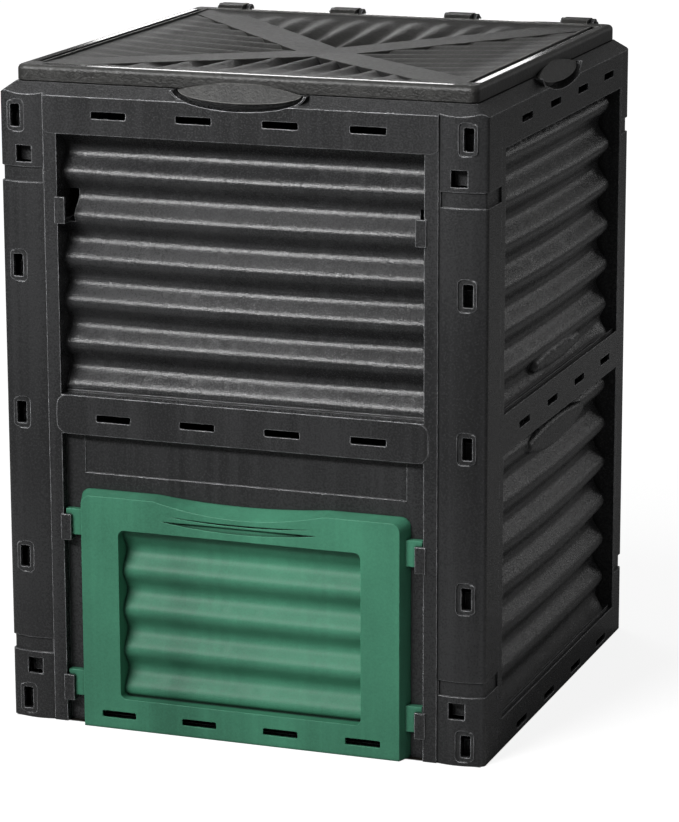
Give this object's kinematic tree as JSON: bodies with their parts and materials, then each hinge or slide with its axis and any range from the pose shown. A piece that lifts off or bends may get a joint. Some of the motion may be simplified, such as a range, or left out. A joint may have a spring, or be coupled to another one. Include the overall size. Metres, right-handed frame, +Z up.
{
  "type": "compost bin",
  "caption": "Square garden compost bin of interlocking ribbed wall panels with a hinged, dished lid and a lift-out hatch door at the front.",
  "frame": {"origin": "on the ground at the middle of the bin's outline", "axes": "+Z up, -Y out of the front with the hatch door, +X to the right as seen from the front"},
  "size_m": [0.61, 0.626, 0.813],
  "materials": {
    "wall_plastic": "black moulded polypropylene with a fine grain",
    "lid_plastic": "black moulded polypropylene, slightly worn looking grain",
    "door_plastic": "green moulded polypropylene with a fine grain",
    "pin_plastic": "smooth black plastic"
  },
  "bodies": {
    "bin": {"front_wall": "wall_plastic", "back_wall": "wall_plastic", "left_wall": "wall_plastic", "right_wall": "wall_plastic", "hinge_pin_1": "pin_plastic", "hinge_pin_2": "pin_plastic", "hinge_pin_3": "pin_plastic", "hinge_pin_4": "pin_plastic"},
    "lid": {"lid": "lid_plastic"},
    "door": {"hatch_door": "door_plastic"}
  },
  "joints": [
    {"name": "lid_hinge", "type": "hinge", "parent": "bin", "child": "lid", "pos_m": [0, 0.299, 0.802], "axis": [-1, 0, 0], "range_deg": [0, 104]},
    {"name": "door_lift", "type": "slide", "parent": "bin", "child": "door", "axis": [0, 0, 1], "range_m": [0, 0.032]}
  ]
}
